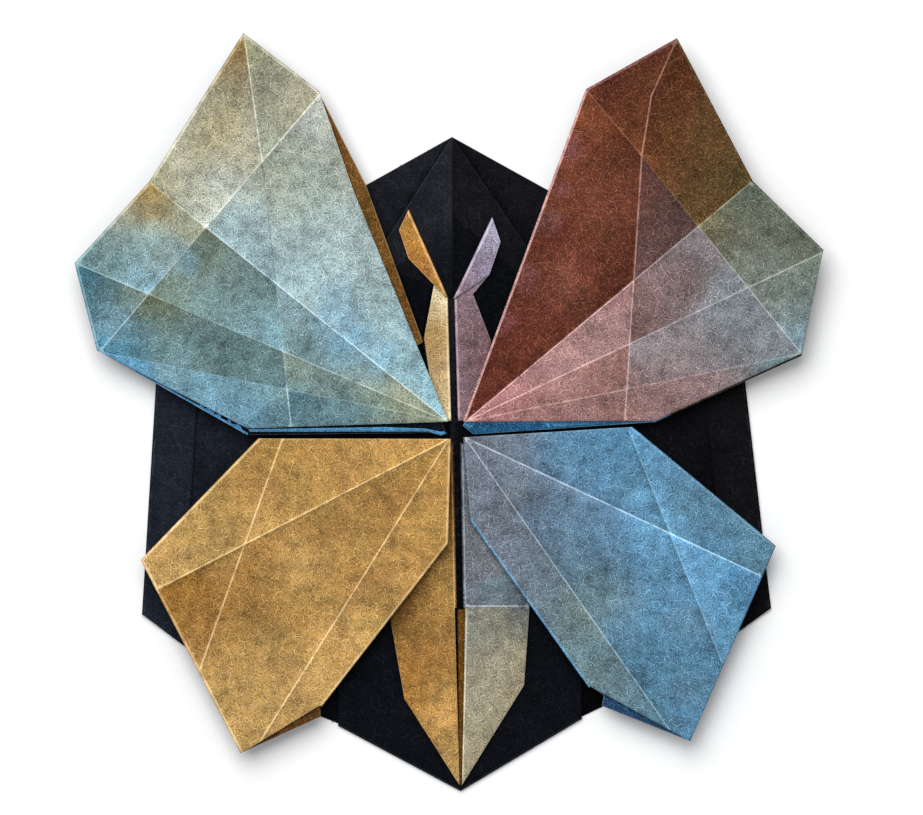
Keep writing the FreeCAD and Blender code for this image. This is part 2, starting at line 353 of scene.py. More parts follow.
def shared_row(start, end, rows):
    """The side from start to end, divided like the roll that it joins, or else evenly."""
    for row in rows:
        if (row[0] - start).xy.length < same_place and (row[-1] - end).xy.length < same_place:
            return row[:-1]
    return divided(start, end)


def refined(chains, creases, hole=None):
    """Points and triangles of a panel. Each chain is one side of it, divided already."""
    points = [point for chain in chains for point in chain]
    face = list(range(len(points)))
    corners = [chain[0] for chain in chains]
    sides = pairs_of(corners)
    lines = pairs_of(drawn_in(corners, range(len(corners)), edge_reach))
    lines += [(start, end) for start, end, *finish in creases]
    if hole:
        lines += pairs_of(hole)
    rows = [divided(start, end) + [end] for start, end in lines]
    for start, end, *finish in creases:
        aside = sideways(start, end) * crease_reach
        for shift in (aside, -aside):
            lines.append((start + shift, end + shift))
            rows.append([
                place for place in divided(start + shift, end + shift)
                if inside(corners, place)
                and min(distance_to(place, *side) for side in sides) > clear_of_sides
            ])
    edges = []
    for row in rows:
        first = len(points)
        points = points + row
        edges += [(first + index, first + index + 1) for index in range(len(row) - 1)]
    across = [point.x for point in corners]
    upwards = [point.y for point in corners]
    row_step = spacing * math.sqrt(3) / 2
    for row in range(int((max(upwards) - min(upwards)) / row_step) + 1):
        for column in range(int((max(across) - min(across)) / spacing) + 1):
            x = min(across) + (column + 0.5 * (row % 2)) * spacing
            place = at(x, min(upwards) + row * row_step)
            if inside(corners, place) and all(
                distance_to(place, *line) > clear_of_lines for line in lines + sides
            ):
                points.append(place)
    found = delaunay_2d_cdt([point.xy for point in points], edges, [face], 1, 1e-4)
    places = [at(*point) for point in found[0]]
    triangles = [tuple(triangle) for triangle in found[2]]
    if hole:
        triangles = [triangle for triangle in triangles if not inside(hole, centre_of(triangle, places))]
    return places, triangles


def centre_of(triangle, places):
    return sum((places[index] for index in triangle), at(0, 0)) / 3


print("panel triangles are", spacing, "mm wide, a crease", 2 * crease_reach, "mm")

# %% [markdown]
# ## A sheet that grows flap by flap
#
# The class below is the folder's hand. It lays a panel down, rolls the paper round some of
# its sides, and lays the next panel against the rolls. A roll is a half circle of rows, and
# where two rolled sides meet, both stop on the line that halves the corner between them.
#
# Each panel is made of flat facets, and each facet lies in the plane of its first three
# corners, so a raised corner tilts every facet that it belongs to.

# %% Folding
roll_steps = 8
shade_reach = 3.5
calm_reach = 6
wave_scale = 0.045
roll_reach = pitch / 2


def plane_height(corners, place):
    """Height of the plane through the first three corners, above a place."""
    a, b, c = corners[:3]
    normal = (b - a).cross(c - a)
    return a.z - (normal.x * (place.x - a.x) + normal.y * (place.y - a.y)) / normal.z


def facet_of(facets, place):
    """The facet that holds a place, or the nearest one."""
    for facet in facets:
        if inside(facet[0], place):
            return facet
    return min(facets, key=lambda facet: min(distance_to(place, *side) for side in pairs_of(facet[0])))


def ways_out(outline, rolled, index):
    """How the roll of one side leaves the outline at the side's first and last corner."""
    count = len(outline)
    sides = pairs_of(outline)
    normal = sideways(*sides[index])
    found = []
    for neighbour, sign in (((index - 1) % count, 1), ((index + 1) % count, -1)):
        start, end = sides[neighbour]
        way = (end - start).normalized() * sign
        if neighbour in rolled:
            way = (normal + sideways(start, end)).normalized()
        elif way.dot(normal) <= 0.5:
            way = normal
        found.append(way / way.dot(normal))
    return found


def level(outline, height):
    return [at(point.x, point.y, height) for point in outline]


def dye_and_shade_beside_creases(creases, face_middle, place):
    """How much lighter or darker the colour is beside the creases near a place: partly dye and
    partly painted light and shade of the fold.
    """
    gain = 1.0
    for start, end, rise, wear_and_highlight, shade in creases:
        away = distance_to(place, start, end) / shade_reach
        if shade and away < 1:
            turn = (end - start).xy.cross((face_middle - start).xy)
            gain *= 1 + math.copysign(shade, turn * shade) * (1 - away) ** 2
    return gain


class Sheet:
    """Panels and rolls of one flap, drawn in millimetres."""

    def __init__(self):
        self.mesh = bmesh.new()
        self.dye = self.mesh.loops.layers.float_color.new("dye")
        numbers = self.mesh.verts.layers.float
        self.crease, self.edge, self.inset = [numbers.new(name) for name in ("crease", "edge", "inset")]

    def paint(self, face, colours):
        face.smooth = True
        for loop, colour in zip(face.loops, colours):
            loop[self.dye] = (*colour, 1.0)

    def panel(
        self, outline, facets, creases=(), clouds=(), rims=None, wave=0.0, seed=1.0, hole=None, rows=(),
    ):
        """One panel. A facet is its corners and their dyes. A crease is a start, an end, a
        rise, a wear that is also a painted highlight (below zero, painted groove shade), and how
        much lighter the colour is on its left than on its right, partly dye and partly painted
        light and shade of the fold. A rim is how worn the paper is along one side of the outline,
        which is also a painted highlight there, and rows are rolls to join."""
        sides = pairs_of(outline)
        chains = [shared_row(start, end, rows) for start, end in sides]
        places, triangles = refined(chains, creases, hole)
        rims = rims or [0.0] * len(sides)
        spots = [(at(x, y), reach, cover, dye(tint)) for x, y, reach, cover, tint in clouds]
        tints = [[(corner, dye(tint)) for corner, tint in zip(*facet)] for facet in facets]
        points = [self.mesh.verts.new(place) for place in places]
        lifts = []
        for point, place in zip(points, places):
            away = [distance_to(place, *side) for side in sides]
            point[self.edge] = max(rim * max(0.0, 1 - far / edge_reach) for rim, far in zip(rims, away))
            point[self.inset] = min(away)
            calm = min(1.0, min(away) / calm_reach)
            lift = wave * calm * noise.noise(place * wave_scale + at(0, 0, seed))
            worn_and_lit = 0.0
            for start, end, rise, wear_and_highlight, shade in creases:
                share = max(0.0, 1 - distance_to(place, start, end) / crease_reach)
                lift += rise * share
                worn_and_lit = wear_and_highlight * share if abs(wear_and_highlight * share) > abs(worn_and_lit) else worn_and_lit
            point[self.crease] = worn_and_lit
            lifts.append(lift)
        for triangle in triangles:
            face_middle = centre_of(triangle, places)
            facet = facet_of(facets, face_middle)
            pairs = tints[facets.index(facet)]
            colours = []
            for index in triangle:
                points[index].co.z = plane_height(facet[0], places[index]) + lifts[index]
                moved = spread(places[index], seed)
                colour = clouded(blend_of(pairs, moved), spots, moved)
                colours.append(colour * dye_and_shade_beside_creases(creases, face_middle, places[index]))
            self.paint(self.mesh.faces.new([points[index] for index in triangle]), colours)
        for point in points:
            if not point.link_faces:
                self.mesh.verts.remove(point)
        return [point for point in points if point.is_valid]

    def patch(self, corners, tints, rim=0.0, seed=1.0):
        """A small panel that is one facet. One dye is enough if all corners have it."""
        tints = [tints] * len(corners) if isinstance(tints, str) else tints
        self.panel(level(corners, 0.0), [(corners, tints)], rims=[rim] * len(corners), seed=seed)

    def side(self, points, start, end):
        """Points of a panel that lie on the line from start to end, in order."""
        along = (end - start).xy
        found = []
        for point in points:
            if distance_to(point.co, start, end) < same_place:
                found.append(((point.co.xy - start.xy).dot(along), point))
        return [point for share, point in sorted(found, key=lambda pair: pair[0])]

    def roll(self, points, outline, rolled, index, height, tint, worn_and_lit=1.0):
        """Half a turn of paper from one side of a panel to the given height. A worn roll, whose
        wear is also a painted highlight on its rim, turns to its tint late, and one with no wear
        at all is its tint from the start."""
        start, end = pairs_of(outline)[index]
        first, last = ways_out(outline, rolled, index)
        row = self.side(points, start, end)
        top_colours = [Vector(point.link_loops[0][self.dye][:3]) for point in row]
        rows = [row]
        for step in range(1, roll_steps + 1):
            angle = math.pi * step / roll_steps
            made = []
            for point in row:
                share = (point.co - row[0].co).xy.length / (end - start).xy.length
                out = first.lerp(last, share) * (roll_reach * math.sin(angle))
                high = (point.co.z + height) / 2 + (point.co.z - height) / 2 * math.cos(angle)
                made.append(self.mesh.verts.new((point.co.x + out.x, point.co.y + out.y, high)))
                made[-1][self.edge] = worn_and_lit * max(0.0, 1 - step / roll_steps)
            rows.append(made)
        for step, (upper, lower) in enumerate(zip(rows, rows[1:])):
            under = min(1.0, max(0.0, (step - 2 * worn_and_lit) / 3)) if worn_and_lit else 1.0
            for place in range(len(row) - 1):
                corners = [upper[place + 1], upper[place], lower[place], lower[place + 1]]
                tinted = top_colours[place].lerp(dye(tint), under)
                self.paint(self.mesh.faces.new(corners), [tinted] * 4)
        return [point.co.copy() for point in rows[-1]]


print("a roll turns in", roll_steps, "steps, with a radius of", roll_reach, "mm")

# %% [markdown]
# ## From surface to paper
#
# The folded surface lies in the middle of the paper. Solidify moves it an eighth of a
# millimetre to both sides and closes the rim, and that is the whole thickness. Points that
# fall on each other are merged first, because Solidify opens every seam it finds. The
# normals are turned outwards last, when the shell is closed.

# %% Thickness


def finished(name, sheets, paint):
    """The sheets as one mesh object, with the paper's thickness, in metres."""
    joined = bmesh.new()
    for sheet in sheets:
        bmesh.ops.remove_doubles(sheet.mesh, verts=sheet.mesh.verts, dist=same_place)
        bmesh.ops.recalc_face_normals(sheet.mesh, faces=sheet.mesh.faces)
        drawn = mesh_of(sheet.mesh, "drawn")
        joined.from_mesh(drawn)
        bpy.data.meshes.remove(drawn)
    holder = in_scene("surface", mesh_of(joined, "surface"))
    thick = holder.modifiers.new("thickness", "SOLIDIFY")
    thick.thickness = paper
    thick.offset = 0.0
    solid = bpy.data.meshes.new_from_object(holder.evaluated_get(bpy.context.evaluated_depsgraph_get()))
    bpy.data.objects.remove(holder)
    closed = bmesh.new()
    closed.from_mesh(solid)
    bmesh.ops.recalc_face_normals(closed, faces=closed.faces)
    closed.transform(Matrix.Scale(mm, 4))
    open_edges = sum(1 for edge in closed.edges if len(edge.link_faces) != 2)
    closed.to_mesh(solid)
    closed.free()
    solid.name = name
    solid.materials.append(paint)
    print(name, len(solid.polygons), "faces,", open_edges, "open edges")
    return in_scene(name, solid)


# %% [markdown]
# ## What the paper is made of
#
# Craft paper of this kind is full of fibres. They are one to two millimetres long, thin
# as a hair, curled, and show lighter than the dye, with a few dark ones among them. The
# edges between Voronoi cells are thin lines of even width. Bent by a fine noise and broken
# into pieces by another, they look just like such fibres. Three light layers and a dark
# one, at different sizes, cross as real fibres do. Beside each light fibre runs a thin line
# of painted shade, where a raised fibre would throw its shadow.
#
# The groups below hold the three effects that both papers share: the fibres with their
# painted shade, the clouds of dye, and the wear, painted highlights and painted groove shade
# on creases and folds.

# %% Group helpers
black = (0.0, 0.0, 0.0, 1.0)


def new_group(name, inputs, outputs, kind="Shader"):
    """An empty node group. Inputs are (name, kind, value), outputs are (name, kind)."""
    group = bpy.data.node_groups.new(name, kind + "NodeTree")
    for title, kind, value in inputs:
        socket = group.interface.new_socket(title, in_out="INPUT", socket_type="NodeSocket" + kind)
        if value is not None:
            socket.default_value = value
    for title, kind in outputs:
        group.interface.new_socket(title, in_out="OUTPUT", socket_type="NodeSocket" + kind)
    asked = list(group.nodes.new("NodeGroupInput").outputs)[:len(inputs)]
    return group, asked, group.nodes.new("NodeGroupOutput")


def is_socket(value):
    return isinstance(value, bpy.types.NodeSocket)


def fill(node, values):
    """Give a node its inputs. An input is a plain value or a socket."""
    for key, value in values.items():
        if is_socket(value):
            node.id_data.links.new(value, node.inputs[key])
        else:
            node.inputs[key].default_value = value


def add_node(tree, kind, values=None, **settings):
    """A node with its settings and its inputs."""
    node = tree.nodes.new(kind)
    for key, value in settings.items():
        setattr(node, key, value)
    fill(node, values or {})
    return node


def made(tree, kind, values=None, **settings):
    """The first output of a new node."""
    return add_node(tree, kind, values, **settings).outputs[0]


def maths(operation, first, second=0.0, clamp=False):
    """A sum of two values. One of them is a socket, and the node goes into its tree."""
    tree = (first if is_socket(first) else second).id_data
    return made(tree, "ShaderNodeMath", {0: first, 1: second}, operation=operation, use_clamp=clamp)


def plus(first, second):
    return maths("ADD", first, second)


def minus(first, second, clamp=False):
    return maths("SUBTRACT", first, second, clamp)


def times(first, second, clamp=False):
    return maths("MULTIPLY", first, second, clamp)


def larger(first, *others):
    for other in others:
        first = maths("MAXIMUM", first, other)
    return first


def moved(place, step):
    return made(place.id_data, "ShaderNodeVectorMath", {0: place, 1: step}, operation="ADD")


def noise_at(place, scale, shift=0.0, detail=0.0, output="Fac"):
    """Flat noise. The paper lies flat, so height never changes the pattern."""
    values = {"Vector": moved(place, (shift, -shift, 0.0)), "Scale": scale, "Detail": detail}
    return add_node(place.id_data, "ShaderNodeTexNoise", values, noise_dimensions="2D").outputs[output]


def between(value, low, high):
    """0 below low, 1 above high, and smooth between them."""
    values = {"Value": value, "From Min": low, "From Max": high}
    return made(value.id_data, "ShaderNodeMapRange", values, interpolation_type="SMOOTHSTEP")


def mixed(share, first, second, blend="MIX"):
    """Two colours mixed. The first one is a socket."""
    values = {0: share, 6: first, 7: second}
    node = add_node(first.id_data, "ShaderNodeMix", values, data_type="RGBA", blend_type=blend)
    return node.outputs[2]


print("node helpers are ready")

# %% Curled fibres
fibre_layers = [(620.0, 0.0, 0.46), (740.0, 0.31, 0.47), (900.0, 0.57, 0.48), (700.0, 0.83, 0.52)]
break_softness = 0.16
shade_line_place, shade_line_depth = 1.6, 0.7
fibres, (here, width, bending), given = new_group(
    "curled_fibres",
    [("Vector", "Vector", None), ("Width", "Float", 0.075), ("Bend", "Float", 0.0006)],
    [("Light fibres", "Float"), ("Dark fibres and fibre shade", "Float"), ("Height", "Float")],
)
bend = noise_at(here, 600.0, 0.2, 1.0, "Color")
bend = made(fibres, "ShaderNodeVectorMath", {0: bend, 1: (0.5, 0.5, 0.5)}, operation="SUBTRACT")
bend = made(fibres, "ShaderNodeVectorMath", {0: bend, "Scale": bending}, operation="SCALE")
bent = moved(here, bend)
lines = []
fibre_shade_lines = []
for cells, shift, gaps in fibre_layers:
    values = {"Vector": moved(bent, (shift, shift, 0.0)), "Scale": cells}
    web = dict(voronoi_dimensions="2D", feature="DISTANCE_TO_EDGE")
    away = maths("DIVIDE", made(fibres, "ShaderNodeTexVoronoi", values, **web), width)
    # Beside each light fibre a thin dark line is painted shade, where the raised fibre would throw its
    # shadow.
    shade_beside_fibre = minus(1.0, maths("ABSOLUTE", minus(away, shade_line_place)), True)
    breaks = between(noise_at(here, 2.2 * cells, shift), gaps, gaps + break_softness)
    lines.append(times(minus(1.0, away, True), breaks))
    fibre_shade_lines.append(times(shade_beside_fibre, breaks))
light = larger(*lines[:3])
painted_fibre_shade = times(larger(*fibre_shade_lines[:3]), minus(1.0, light))
dark = larger(lines[3], times(painted_fibre_shade, shade_line_depth))
fill(given, {0: light, 1: dark, 2: minus(light, dark)})

# %% Clouds of dye
clouds_group, (colour, here, depth, turn), given = new_group(
    "dye_clouds",
    [("Color", "Color", None), ("Vector", "Vector", None), ("Depth", "Float", 0.3), ("Turn", "Float", 0.04)],
    [("Color", "Color")],
)
cloud_share = 0.55
broad = times(noise_at(here, 95.0, detail=4.0), cloud_share)
small = times(noise_at(here, 420.0, 0.7, detail=2.0), cloud_share)
swing = minus(plus(broad, small), cloud_share)
warmth = minus(noise_at(here, 110.0, 1.9, detail=2.0), 0.5)
values = {"Color": colour, "Value": plus(1.0, times(swing, depth)), "Hue": plus(0.5, times(warmth, turn))}
fill(given, {0: made(clouds_group, "ShaderNodeHueSaturation", values)})

# %% Worn creases and folds, with painted highlights and painted groove shade
wear_and_highlight_group, (colour, here, crease, edge, worn_and_lit_colour, edge_wear_and_highlight), given = new_group(
    "worn_and_lit_folds",
    [
        ("Color", "Color", None), ("Vector", "Vector", None), ("Crease", "Float", 0.0),
        ("Edge", "Float", 0.0), ("Worn and lit colour", "Color", (0.6, 0.58, 0.5, 1.0)), ("Edge wear and highlight", "Float", 0.7),
    ],
    [("Color", "Color"), ("Wear and highlight", "Float")],
)
# Light lines on creases and rubbed edges are worn paper and also painted highlights.
least_wear_and_highlight, groove_shade_depth, groove_shade_colour = 0.45, 0.7, (0.01, 0.012, 0.012, 1.0)
patchy = between(noise_at(here, 420.0, 0.3, detail=2.0), 0.25, 0.6)
patchy = plus(least_wear_and_highlight, times(patchy, 1 - least_wear_and_highlight))
lit_and_worn_ridges = times(between(crease, 0.1, 1.0), patchy)
rubbed_and_lit_edges = times(between(edge, 0.4, 1.0), edge_wear_and_highlight)
wear_and_highlight = maths("MAXIMUM", lit_and_worn_ridges, times(rubbed_and_lit_edges, patchy), True)
# Below zero a crease is a groove, and it is darkened towards the groove colour as painted shade.
painted_groove_shade = times(maths("MINIMUM", crease, 0.0), -groove_shade_depth, True)
lightened = mixed(wear_and_highlight, colour, worn_and_lit_colour)
fill(given, {0: mixed(painted_groove_shade, lightened, groove_shade_colour), 1: wear_and_highlight})
print("shader groups:", [group.name for group in (fibres, clouds_group, wear_and_highlight_group)])

# %% [markdown]
# ## Two papers
#
# Both sides are the same sheet, so both materials are put together in the same order. The
# dye comes from the colour that the panels carry. Clouds push it about, light and dark
# fibres are laid over it, with painted shade beside the light ones, and worn creases come
# last, because they were rubbed last. Their light lines are also painted highlights, and
# their grooves get painted shade.
#
# Paper is rough and hardly shines. The dark side would look grey if it did, so its
# specular level is lower still. The fibres also stand a few hundredths of a millimetre
# out of the sheet, which a Bump node is fine enough for.

# %% Paper materials
tooth_scale, tooth_depth = 2600.0, 0.3
# fibre_depth darkens both the dark fibres and the painted shade beside the light ones.
fibre_depth = 0.75
fray_and_highlight = (0.85, 0.74, 0.72, 1.0)
fibre_relief = 0.00005


def attribute(tree, name, output="Fac"):
    """A number or a colour that the mesh carries."""
    return add_node(tree, "ShaderNodeAttribute", attribute_name=name).outputs[output]


def clouded_dye(tree, depth, turn):
    """The dye that the panels carry, under clouds, and the place on the sheet."""
    place = add_node(tree, "ShaderNodeTexCoord").outputs["Object"]
    values = {"Color": attribute(tree, "dye", "Color"), "Vector": place, "Depth": depth, "Turn": turn}
    return made(tree, "ShaderNodeGroup", values, node_tree=clouds_group), place


def lighter(colour, gamma, gain):
    """A paler colour. A gamma under 1 lifts dark dyes more than light ones, as bleach does."""
    lifted = made(colour.id_data, "ShaderNodeGamma", {"Color": colour, "Gamma": gamma})
    return mixed(1.0, lifted, (gain, gain, gain, 1.0), "MULTIPLY")


def paper_material(name, cloud, turn, light, curl_colour, dark, worn_and_lit, shine, bump):
    """A paper. Each number says how strong one effect is."""
    material, shader = matt_material(name, shine)
    tree = material.node_tree
    colour, place = clouded_dye(tree, cloud, turn)
    curls = add_node(tree, "ShaderNodeGroup", {"Vector": place}, node_tree=fibres).outputs
    tooth = between(noise_at(place, tooth_scale, 0.9, detail=1.0), 0.2, 0.8)
    grained = mixed(times(tooth, tooth_depth), colour, black)
    laid = mixed(times(curls[0], light), grained, lighter(colour, *curl_colour))
    laid = mixed(times(curls[1], dark), laid, mixed(fibre_depth, colour, black))
    gamma, gain, frayed_and_lit = worn_and_lit
    values = {
        "Color": laid, "Vector": place, "Crease": attribute(tree, "crease"), "Edge": attribute(tree, "edge"),
        "Worn and lit colour": mixed(frayed_and_lit, lighter(colour, gamma, gain), fray_and_highlight),
    }
    relief = {"Strength": bump, "Distance": fibre_relief, "Height": curls[2]}
    fill(shader, {
        "Base Color": made(tree, "ShaderNodeGroup", values, node_tree=wear_and_highlight_group),
        "Roughness": plus(0.8, times(curls[2], 0.06)),
        "Normal": made(tree, "ShaderNodeBump", relief),
    })
    return material


dyed_paper = paper_material("dyed_paper", 1.8, 0.015, 0.9, (0.72, 1.28), 1.1, (0.6, 1.4, 0.05), 0.06, 0.8)
dark_paper = paper_material("dark_paper", 1.4, 0.015, 0.9, (0.95, 1.7), 0.9, (0.8, 1.2, 0.01), 0.02, 0.8)
print("materials:", dyed_paper.name, "and", dark_paper.name)

# %% [markdown]
# ## Folding plans in words
#
# A folder's notes name the corners of a flap and say what goes on between them. The plans
# below are kept in the same way, as tables in words like the dye pot's, and a few readers
# turn their rows into facets, creases and clouds.

# %% Plan readers


def facets_from(spots, plan):
    """Facets from rows of 'corner:dye corner:dye ...'."""
    facets = []
    for row in rows_of(plan):
        pairs = [part.split(":") for part in row]
        facets.append(([spots[name] for name, tint in pairs], [tint for name, tint in pairs]))
    return facets


def creases_from(spots, plan):
    """Creases from rows of 'start end rise wear shade'. The wear is also a painted highlight,
    or painted groove shade below zero, and the shade is partly dye and partly painted light
    and shade beside the fold.
    """
    return [(spots[start], spots[end], *finish) for start, end, *finish in rows_of(plan)]


def clouds_from(root, plan):
    """Clouds from rows of 'dye x y reach strength', measured from the meeting point."""
    return [(x - root.x, y - root.y, reach, cover, tint) for tint, x, y, reach, cover in rows_of(plan)]


def band(root, plan, height=middle):
    """A facet from rows of 'dye x y', measured from the meeting point."""
    rows = rows_of(plan)
    return [at(x - root.x, y - root.y, height) for tint, x, y in rows], [tint for tint, x, y in rows]


meeting_point = at(0.0, 0.0)
print("a row is read as", rows_of("root rib_end 0.06 1")[0])

# %% [markdown]
# ## The base plate
#
# The dark side of the sheet makes a flat plate. Its back ply lies on the floor. A narrow
# hem is folded forwards over each long side, and a kite-shaped layer is folded forwards
# over the two sides of the lower tip. The kite carries a low ridge from its top to the
# slit, where the paper was pinched, and the slit is where tails and antennae come out.

# %% Base plan
base_drawn = [at(x, y) for name, x, y in rows_of("""
    top -0.8 58.6, upper_left -59 26, lower_left -62.8 -36.8, waist_left -45.6 -49.8,
    keel_left -27.2 -57.2, tip 0.9 -72.2, keel_right 29.3 -55.3, waist_right 48.8 -46,
    lower_right 63 -35.6, upper_right 55.8 27.2""")]
left_side, left_keel, right_keel, right_side = 1, 4, 5, 8
base_rolled = [left_side, left_keel, right_keel, right_side]
base_outline = drawn_in(base_drawn, base_rolled, fold_radius)
hem_width = 8.4
kite_top, kite_tip = base_outline[0], base_outline[5]
kite_left, kite_right = at(-25.2, 20.4), at(25.2, 20.4)
ridge = at(-0.8, 43.0, pitch + middle + 0.4)
slit_top, slit_bottom, slit_width = at(-1.0, 26.6), at(0.8, -35.6), 1.3
slit_aside = sideways(slit_bottom, slit_top) * (slit_width / 2 + fold_radius)
slit = [slit_top - slit_aside, slit_bottom - slit_aside, slit_bottom + slit_aside, slit_top + slit_aside]
print("base outline:", len(base_outline), "corners, slit", round((slit_top - slit_bottom).length, 1), "mm")

# %% Back ply and hems
front_level = pitch + middle
base = Sheet()
back_rims = [0.5] * len(base_outline)
left_half = level(base_outline[:6], middle)
right_half = level([base_outline[0]] + base_outline[5:], middle)
back_facets = [
    (left_half, ["onyx", "night", "night", "coal", "coal", "coal"]),
    (right_half, ["soot", "coal", "jet", "jet", "jet", "soot"]),
]
# The back ply is darker just outside the kite's upper sides: painted shadow of the kite layer.
kite_painted_shadow = [(kite_top, kite_left, 0.0, 0.0, 0.5), (kite_top, kite_right, 0.0, 0.0, -0.6)]
back_points = base.panel(base_outline, back_facets, kite_painted_shadow, rims=back_rims, seed=2.0)


def fold_hem(side, top, waist, tint):
    """The strip folded forwards over one long side of the base."""
    start, end = pairs_of(base_outline)[side]
    base.roll(back_points, base_outline, base_rolled, side, front_level, tint)
    shift = sideways(start, end) * (fold_radius - hem_width)
    first = meeting(start, top, start + shift, end + shift)
    last = meeting(end, waist, start + shift, end + shift)
    hem = [start, end, last, first]
    creases = [(start, end, 0.0, 0.6, 0.0)]
    base.panel(hem, [(level(hem, front_level), [tint] * 4)], creases, rims=[1.0, 0.2, 0.5, 0.2], seed=3.0)


fold_hem(left_side, base_outline[0], base_outline[3], "night")
fold_hem(right_side, base_outline[7], base_outline[0], "raven")
print("base plate:", len(base.mesh.faces), "faces before the kite")

# %% Kite layer
kite = [kite_top, kite_left, base_outline[4], kite_tip, base_outline[6], kite_right]
kite_spots = dict(zip(["top", "left", "low_left", "tip", "low_right", "right"], level(kite, front_level)))
kite_spots.update(zip(["slit_a", "slit_b", "slit_c", "slit_d"], level(slit, front_level)))
kite_spots.update(ridge=ridge, slit_top=slit_top)
# Left of the ridge the facets are onyx and right of it soot, coal and pitch: painted light on the ridge's
# lit side and painted shade on its shaded side.
kite_facets = facets_from(kite_spots, """
    top:onyx left:onyx ridge:onyx, ridge:onyx left:onyx slit_a:coal, ridge:onyx slit_a:coal slit_d:coal,
    ridge:pitch slit_d:coal right:coal, top:soot ridge:soot right:coal,
    left:coal low_left:pitch tip:pitch slit_b:coal slit_a:coal, slit_b:coal tip:pitch slit_c:coal,
    right:coal slit_d:coal slit_c:coal tip:pitch low_right:pitch""")
# The creases down the middle carry painted shade in their groove and on their right side.
kite_creases = creases_from(kite_spots, """
    ridge left 0 0 0, ridge right 0 0 0, ridge slit_a 0 0 0, ridge slit_d 0 0 0, tip slit_b 0 0 0,
    tip slit_c 0 0 0, left slit_a 0 0 0, right slit_d 0 0 0, top ridge 0 -0.6 -0.3,
    ridge slit_top 0 -0.5 -0.3""")
kite_rims = [1.0, 0.2, 0.6, 0.6, 0.2, 1.0]
kite_points = base.panel(kite, kite_facets, kite_creases, rims=kite_rims, seed=4.0, hole=slit)
for side in (2, 3):
    base.roll(kite_points, kite, [2, 3], side, middle, "coal")
print("base plate:", len(base.mesh.faces), "faces with the kite")

# %% Struts
struts = Sheet()
strut_start, strut_end, strut_spread = 9.0, 27.0, 9.0


def add_strut(root, bearing, lift):
    """The hidden ply that runs from the kite layer up to a wing."""
    low = pitch + paper
    high = wing_seat + strut_end * math.tan(math.radians(lift)) - middle
    ends = [(strut_start, -1, low), (strut_end, -1, high), (strut_end, 1, high), (strut_start, 1, low)]
    corners = [root + around(reach, bearing + side * strut_spread, z) for reach, side, z in ends]
    struts.patch(corners, "night", seed=5.0)


gusset = [at(-16.0, 33.0, front_level), at(-14.0, 17.0, front_level), at(-6.8, 18.4, front_level + 0.8)]
gusset.append(at(-4.9, 29.0))
gusset[3].z = plane_height(gusset, gusset[3])
struts.patch(gusset, "coal", 0.3, 6.0)
print("a strut reaches", strut_end, "mm out under its wing")

# %% [markdown]
# ## Tails and antennae
#
# Four narrow flaps come up through the slit and roll outwards over its sides. The tails
# run down to the tip of the base. Each antenna is a strip with a leaf at its end, where
# the paper is folded back over its own long side, so the leaf is two plies.

# %% Tails
tail_level = 2 * pitch + middle
across = at(1.0, 0.0)


def slit_side(side, low, high):
    """Part of one side of the slit, between two distances up from the meeting point."""
    top_end, bottom_end = (slit[0], slit[1]) if side < 0 else (slit[3], slit[2])
    return [meeting(top_end, bottom_end, at(0, y), at(0, y) + across) for y in (low, high)]


def add_tail(side, corners, facets, creases, clouds, tint, seed):
    low, high = slit_side(side, slit_bottom.y, -2.8)
    high = high + at(0.35, 0.0)
    names = ["low", "high", "upper", "outer", "knee", "tip", "turn"]
    spots = dict(zip(names, level([low, high] + corners + [at(low.x, corners[1].y)], tail_level)))
    outline = [low, high] + corners if side < 0 else [high, low] + corners[::-1]
    rims = [1.0, 0.0] + [0.8] * 4 if side < 0 else [1.0] + [0.8] * 4 + [0.0]
    facets, clouds = facets_from(spots, facets), clouds_from(meeting_point, clouds)
    sheet = Sheet()
    points = sheet.panel(outline, facets, creases, clouds, rims, wave=0.06, seed=seed)
    sheet.roll(points, outline, [0], 0, front_level, tint, 0.3)
    return sheet


left_corners = [at(-2.6, -4.0), at(-13.1, -37.9), at(-10.3, -53.7), at(0.7, -71.0)]
right_corners = [at(2.8, -4.0), at(14.7, -35.2), at(13.6, -51.0), at(1.2, -71.0)]
# On the left tail, cinder at the high and upper corners and the bronze and cinder clouds along the
# hindwing's edge are painted shadow of the left hindwing.
tails = add_tail(
    -1, left_corners, "low:gold high:cinder upper:cinder outer:bronze knee:saffron tip:honey", [],
    """
    biscuit -4 -55 8 0.8, honey -1.5 -63 6 0.5, amber -3 -40 6 0.5, bronze -12 -39 4.5 0.6,
    cinder -10 -34.5 4.5 0.5, cinder -6.5 -30.5 4.5 0.5""", "cinder", 7.0,
)
fold_line = (at(slit[2].x, right_corners[1].y), right_corners[1], 0.03, 1.0, 0.0)
edge_line = (at(2.15, -36.5), at(1.35, -69.5), 0.0, 0.8, 0.0)
# On the right tail, iron at the high corner and on the roll into the slit is painted shade in the slit, and
# the two ink_blue clouds along the hindwing's edge are painted shadow of the right hindwing.
right_tails = add_tail(
    1, right_corners,
    "low:flint high:iron upper:flint outer:stone, turn:reseda tip:linen knee:linen outer:drab",
    [fold_line, edge_line],
    """
    reseda 5 -42 6 0.6, storm_grey 13 -38.5 5 0.35, ink_blue 13.5 -33.5 4 0.6,
    ink_blue 10.5 -29.5 3.5 0.5, denim 8.5 -33 5 0.4""", "iron", 8.0,
)
tongue_level = front_level + paper
tongue = [(2.0, -35.9), (0.35, -35.9), (0.7, -71.0), (1.2, -71.0)]
tails.patch([at(x, y, tongue_level) for x, y in tongue], "tawny", seed=8.5)
print("tails:", len(tails.mesh.faces) + len(right_tails.mesh.faces), "faces")

# %% Antennae
leaf_level = 3 * pitch + middle


